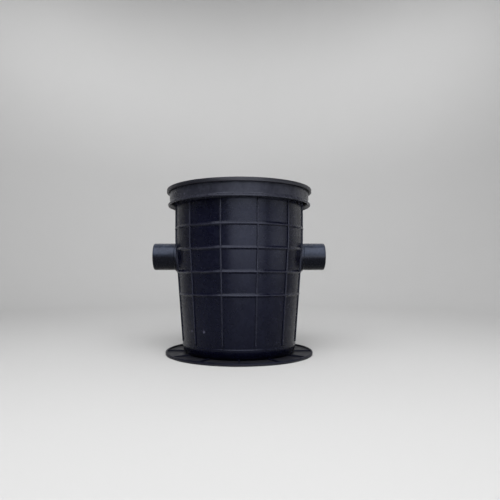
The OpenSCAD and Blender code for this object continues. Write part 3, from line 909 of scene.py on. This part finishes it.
def plastic_base(name, deep, pale, smooth, dull, gloss, tint):
    """Injection-moulded plastic with faint waves and a fine skin.

    Gives the finish, and outputs for its cloudy colour and its uneven dullness.
    """
    made = Finish(name, specular=gloss)
    made.shader.inputs["Specular Tint"].default_value = (*tint, 1)
    colour = made.mix(made.spread(made.noise(18, 4), 0.35, 0.65), deep, pale)
    dullness = made.spread(made.noise(70, 6), 0.3, 0.7, smooth, dull)
    waves = made.bump(made.noise(22, 2, (1, 1, 0.35)), 0.35, 1.2)
    made.link(made.bump(made.noise(1600, 2), 0.12, 0.08, waves), made.shader, "Normal")
    return made, colour, dullness


def moulded_plastic(name, deep, pale, smooth, dull, gloss=0.3, tint=(1, 1, 1)):
    """Moulded plastic with no wear and no painted light, for the lid and the pieces inside."""
    made, colour, dullness = plastic_base(name, deep, pale, smooth, dull, gloss, tint)
    made.link(colour, made.shader, "Base Color")
    made.link(dullness, made.shader, "Roughness")
    return made.material


def rib_crests(made):
    """1 on the crests of the tank's ribs, by how far a point stands proud of the wall."""
    x, y, z = made.xyz()
    below = made.math("MAXIMUM", made.math("SUBTRACT", TAPER_TOP_Z * MM, z), 0)
    taper = made.math("MULTIPLY", below, TAPER)
    proud = made.math("ADD", made.math("SUBTRACT", made.length(x, y), TANK_R * MM), taper)
    crests = made.math("MULTIPLY", made.spread(proud, CREST_BEGIN * MM, CREST_FULL * MM),
                       made.spread(proud, CREST_FADE * MM, CREST_END * MM, 1, 0))
    middle_z, half = (LIP_Z + RIB_FOOT_Z) / 2, (LIP_Z - RIB_FOOT_Z) / 2
    return made.math("MULTIPLY", crests, made.within("Z", middle_z, half - 6, 4))


def navy_plastic():
    """The tank's navy-black plastic: painted highlights on the rib crests, a painted sheen on the collar,
    painted shade and highlight on the spigots, dust with painted shade lines on the base flange, and a few
    small pale spots.
    """
    made, colour, dullness = plastic_base(
        "tank_plastic", NAVY_DEEP, NAVY_PALE, smooth=0.22, dull=0.32, gloss=0.17, tint=NAVY_TINT)
    patches = made.spread(made.noise(90, 5), 0.2, 0.8, 0.4, 1)
    # Painted sheen on the collar and its lip, in noisy patches
    collar = made.within("Z", RIM_Z, RIM_Z - LIP_Z, 1)
    colour = made.mix(made.math("MULTIPLY", collar, patches), colour, COLLAR_PAINTED_SHEEN)
    # Painted light on the spigots: painted shade all over, and a painted highlight in patches on their upper
    # half
    spigots = made.math("SUBTRACT", made.along_x(SPIGOT_Z, PIPE_R + ROOT_ROUND, 3),
                        made.within("X", 0, SPIGOT_HIGHLIGHT_X, 3))
    upper = made.above(SPIGOT_Z + SPIGOT_HIGHLIGHT_LOW, SPIGOT_Z + SPIGOT_HIGHLIGHT_HIGH)
    spigot_painted_light = made.mix(made.math("MULTIPLY", upper, patches), SPIGOT_PAINTED_SHADE, SPIGOT_PAINTED_HIGHLIGHT)
    colour = made.mix(made.math("MAXIMUM", spigots, 0), colour, spigot_painted_light)
    # Painted highlight on the rib crests, broken up by noise
    crests = rib_crests(made)
    crest_highlight = made.math("MULTIPLY", crests, made.spread(made.noise(60, 5), 0.3, 0.7, 0.5, 1))
    colour = made.mix(crest_highlight, colour, RIB_PAINTED_HIGHLIGHT)
    flange = made.within("Z", 0, FLANGE_EDGE_H, 5)
    # Dust on the flange's plate only, so that the spokes and raised edge stay dark as painted shade lines
    plate = made.within("Z", 0, FLANGE_T + 0.7, 1.2)
    colour = made.mix(made.math("MULTIPLY", plate, made.noise(140, 5)), colour, FLANGE_DUST_AND_SHADE)
    # Small pale spots on the tank
    for place, reach in PALE_SPOTS:
        colour = made.mix(made.near(place, reach), colour, PALE_SPOT)
    made.link(colour, made.shader, "Base Color")
    made.link(made.math("ADD", dullness, made.spread(flange, 0, 1, 0, 0.24)), made.shader, "Roughness")
    return made.material


def seal_rubber():
    """Black rubber of the gasket and the seal rings, dull and slightly grainy."""
    made = Finish("seal_rubber", specular=0.3)
    made.link(made.mix(made.noise(120, 3), RUBBER_DEEP, RUBBER_PALE), made.shader, "Base Color")
    made.link(made.spread(made.noise(300, 3), 0.3, 0.7, 0.6, 0.8), made.shader, "Roughness")
    made.link(made.bump(made.noise(900, 2), 0.2, 0.1), made.shader, "Normal")
    return made.material


def drawn_steel():
    """Bare steel wire of the bail, with fine unevenness from drawing."""
    made = Finish("drawn_steel", metallic=1.0)
    made.link(made.mix(made.noise(60, 4), STEEL_DEEP, STEEL_PALE), made.shader, "Base Color")
    made.link(made.spread(made.noise(500, 4), 0.3, 0.7, 0.22, 0.38), made.shader, "Roughness")
    made.link(made.bump(made.noise(2500, 2), 0.1, 0.05), made.shader, "Normal")
    return made.material


def pale_paint(name, shade):
    """Plain pale finish of the floor and the backdrop."""
    made = Finish(name, roughness=0.8, specular=0.2)
    light = shade * 1.03
    made.link(made.mix(made.noise(3, 3), (shade,) * 3, (light,) * 3), made.shader, "Base Color")
    return made.material


def dress(finish, *nodes):
    """Gives CAD nodes that are shown as they are their finish."""
    for name in nodes:
        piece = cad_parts[name]
        piece.data.materials.clear()
        piece.data.materials.append(finish)


# Studio, in metres

FLOOR_RADIUS = 2.4
FLOOR_SIDES = 96
BACKDROP_HEIGHT = 3
SWEEP = 0.9
SWEEP_STEPS = 16
FLOOR_SHADE = 0.5
TRAP_MIDDLE = (0, 0, 0.2)

# World: grey at the horizon and overhead, and the height of a look upwards where it is full
HORIZON_GREY = 0.16
OVERHEAD_GREY = 0.3
OVERHEAD_FROM = 0.7

# Camera, worked out from the photograph's curves
CAMERA_PLACE = (0, -1.042, 0.1786)
CAMERA_LENS = 32.98
CAMERA_SENSOR = 36
CAMERA_SHIFT_X = 0.0218
CAMERA_SHIFT_Y = 0.0474


def make_floor():
    """A pale round floor that sweeps up into a backdrop all round the trap."""
    deselect_all()
    bpy.ops.mesh.primitive_circle_add(vertices=FLOOR_SIDES, radius=FLOOR_RADIUS, fill_type="NGON")
    floor = bpy.context.object
    floor.name = "floor"
    edit(floor)
    pick("edges", lambda edge, middle: True)
    bpy.ops.mesh.extrude_edges_move(TRANSFORM_OT_translate={"value": (0, 0, BACKDROP_HEIGHT)})
    pick("edges", lambda edge, middle: abs(middle.z) < 1)
    bpy.ops.mesh.bevel(offset=SWEEP, segments=SWEEP_STEPS, affect="EDGES")
    bpy.ops.object.mode_set(mode="OBJECT")
    bpy.ops.object.shade_smooth()
    floor.data.materials.append(pale_paint("pale_floor", FLOOR_SHADE))


def softbox(name, place, aim, width, height, glow, spread=180, for_gloss=False):
    """A rectangular soft lamp at a place, turned to aim, as bright as its glow.

    A grid may narrow its spread, and a lamp for gloss only shows in reflections.
    """
    deselect_all()
    bpy.ops.object.light_add(type="AREA", location=place)
    lamp = bpy.context.object
    lamp.name = name
    lamp.data.shape = "RECTANGLE"
    lamp.data.size = width
    lamp.data.size_y = height
    lamp.data.energy = glow * math.pi * width * height
    lamp.data.spread = math.radians(spread)
    lamp.visible_camera = False
    lamp.visible_diffuse = not for_gloss
    lamp.rotation_euler = (Vector(aim) - Vector(place)).to_track_quat("-Z", "Y").to_euler()


def make_studio():
    """The floor, the lamps and the grey round them."""
    make_floor()
    softbox("top_light", (0, -0.85, 1.3), TRAP_MIDDLE, width=1.7, height=1.6, glow=4.1)
    softbox("front_light", (0.37, -1.3, 0.31), (0.15, 0, 0.31), width=1.6, height=0.56, glow=2.2,
            spread=135, for_gloss=True)
    softbox("side_light", (1.25, -0.5, 0.3), (0.1, 0, 0.2), width=0.8, height=0.55, glow=1.2,
            spread=135, for_gloss=True)
    softbox("right_light", (1.9, 0.7, 0.6), TRAP_MIDDLE, width=1.2, height=1.2, glow=0.5)
    softbox("backdrop_light", (0, 1.2, 1.9), (0, 2.3, 0.6), width=2.6, height=0.6, glow=4.0)
    softbox("front_wall_light", (0, -1.5, 2.2), (0, -2.3, 0.6), width=2.2, height=0.5, glow=1.2)
    make_world()


def make_world():
    """A plain grey round the studio, darker at the horizon than overhead."""
    world = bpy.data.worlds.new("studio")
    world.use_nodes = True
    nodes, links = world.node_tree.nodes, world.node_tree.links
    split = nodes.new("ShaderNodeSeparateXYZ")
    links.new(nodes.new("ShaderNodeTexCoord").outputs["Generated"], split.inputs["Vector"])
    shade = nodes.new("ShaderNodeMapRange")
    shade.inputs["From Max"].default_value = OVERHEAD_FROM
    shade.inputs["To Min"].default_value = HORIZON_GREY
    shade.inputs["To Max"].default_value = OVERHEAD_GREY
    links.new(split.outputs["Z"], shade.inputs["Value"])
    links.new(shade.outputs["Result"], nodes["Background"].inputs["Color"])
    bpy.context.scene.world = world


def make_camera():
    """The photograph's viewpoint: level with the trap's middle, straight on to its front."""
    deselect_all()
    bpy.ops.object.camera_add(location=CAMERA_PLACE, rotation=(math.pi / 2, 0, 0))
    camera = bpy.context.object
    camera.data.lens = CAMERA_LENS
    camera.data.sensor_width = CAMERA_SENSOR
    camera.data.shift_x = CAMERA_SHIFT_X
    camera.data.shift_y = CAMERA_SHIFT_Y
    bpy.context.scene.camera = camera


# The scene

make_camera()
tank_plastic = navy_plastic()
lid_plastic = moulded_plastic(
    "lid_plastic", LID_DEEP, LID_PALE, smooth=0.38, dull=0.46, gloss=0.3, tint=LID_TINT)
fitting_plastic = moulded_plastic("fitting_plastic", FITTING_DEEP, FITTING_PALE, smooth=0.35, dull=0.5)
basket_plastic = moulded_plastic("basket_plastic", BASKET_DEEP, BASKET_PALE, smooth=0.38, dull=0.55)
rubber = seal_rubber()
steel = drawn_steel()

make_tank(tank_plastic)
make_lid(lid_plastic)
make_gasket(rubber)
make_bend(fitting_plastic)
make_tee(fitting_plastic)
make_dip_pipe(fitting_plastic)
make_basket(basket_plastic)
make_bail(steel)
dress(rubber, "inlet_seal", "outlet_seal", "dip_pipe_seal")
make_studio()
bpy.context.scene.view_settings.view_transform = "Standard"

deselect_all()
